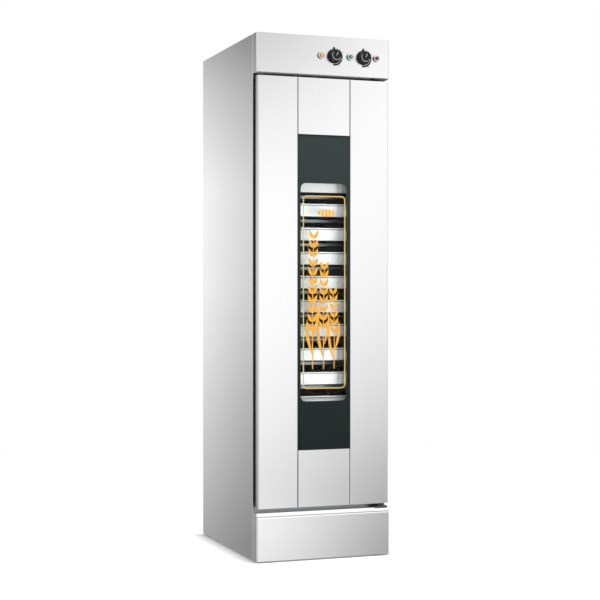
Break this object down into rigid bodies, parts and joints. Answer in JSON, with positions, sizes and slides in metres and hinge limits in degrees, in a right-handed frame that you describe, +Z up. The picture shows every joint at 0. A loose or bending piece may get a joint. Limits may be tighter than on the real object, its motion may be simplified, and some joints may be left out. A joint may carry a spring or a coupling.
{
  "type": "dough proofer",
  "caption": "Tall insulated dough proofer with a glazed hinged door, trays on side racks, heaters, a water pan, and a header with control knobs and pilot lamps.",
  "frame": {"origin": "on the floor, at the middle of the outline", "axes": "+Z up, door facing -Y, +X to the right of a person who faces the door"},
  "size_m": [0.51, 0.723, 1.88],
  "materials": {
    "outer_steel": "fine brushed stainless sheet",
    "inner_steel": "satin stainless sheet",
    "tray_metal": "bright rolled aluminium",
    "heater_tube": "heat-tinted steel tube",
    "foam": "rigid insulation foam, hidden",
    "window_glass": "clear toughened glass",
    "window_mask": "dark green-black frame",
    "gasket_rubber": "soft black seal",
    "foot_rubber": "moulded rubber",
    "knob_plastic": "black moulded knob",
    "black_nylon": "black nylon",
    "control_body": "pale moulded body",
    "lamp_bezel": "bright plated bezel",
    "amber_lens": "amber lens",
    "green_lens": "green lens",
    "red_lens": "red lens"
  },
  "bodies": {
    "cabinet": {"side_panel_left": "outer_steel", "side_panel_right": "outer_steel", "top_panel": "outer_steel", "rear_panel": "outer_steel", "base_pan": "outer_steel", "base_front": "outer_steel", "header_fascia": "outer_steel", "face_frame": "inner_steel", "feet": "foot_rubber", "liner_sides": "inner_steel", "liner_rear": "inner_steel", "liner_ceiling": "inner_steel", "liner_floor": "inner_steel", "insulation": "foam", "rack_left": "inner_steel", "rack_right": "inner_steel", "rack_rails": "inner_steel", "water_pan": "inner_steel", "heaters": "heater_tube", "heater_cover": "inner_steel", "thermostats": "control_body", "lamp_housings": "lamp_bezel", "terminal_block": "control_body", "cable_gland": "black_nylon", "hinge_plates": "inner_steel", "hinge_washers": "black_nylon", "tray_01": "tray_metal", "tray_02": "tray_metal", "tray_03": "tray_metal", "tray_04": "tray_metal", "tray_05": "tray_metal", "tray_06": "tray_metal", "tray_07": "tray_metal", "tray_08": "tray_metal", "tray_09": "tray_metal", "tray_10": "tray_metal", "tray_11": "tray_metal", "tray_12": "tray_metal", "tray_13": "tray_metal", "tray_14": "tray_metal", "tray_15": "tray_metal", "tray_16": "tray_metal", "lamp_amber": "amber_lens", "lamp_green": "green_lens", "lamp_red": "red_lens"},
    "door": {"door_skin_left": "outer_steel", "door_skin_right": "outer_steel", "door_centre_panels": "outer_steel", "door_end_caps": "outer_steel", "door_outer_glass": "window_glass", "door_window_frame": "window_mask", "door_inner_glass": "window_glass", "door_liner": "inner_steel", "door_core": "foam", "door_gasket": "gasket_rubber", "pivot_bushes": "black_nylon"},
    "temperature_dial": {"temperature_knob": "knob_plastic", "temperature_shaft": "inner_steel"},
    "humidity_dial": {"humidity_knob": "knob_plastic", "humidity_shaft": "inner_steel"}
  },
  "joints": [
    {"name": "door_hinge", "type": "hinge", "parent": "cabinet", "child": "door", "pos_m": [0.221, -0.3255, 0.192], "axis": [0, 0, 1], "range_deg": [0, 120]},
    {"name": "temperature_turn", "type": "hinge", "parent": "cabinet", "child": "temperature_dial", "pos_m": [0.0385, -0.3355, 1.81], "axis": [0, 1, 0], "range_deg": [-25, 245]},
    {"name": "humidity_turn", "type": "hinge", "parent": "cabinet", "child": "humidity_dial", "pos_m": [0.1515, -0.3355, 1.81], "axis": [0, 1, 0], "range_deg": [-25, 245]}
  ]
}
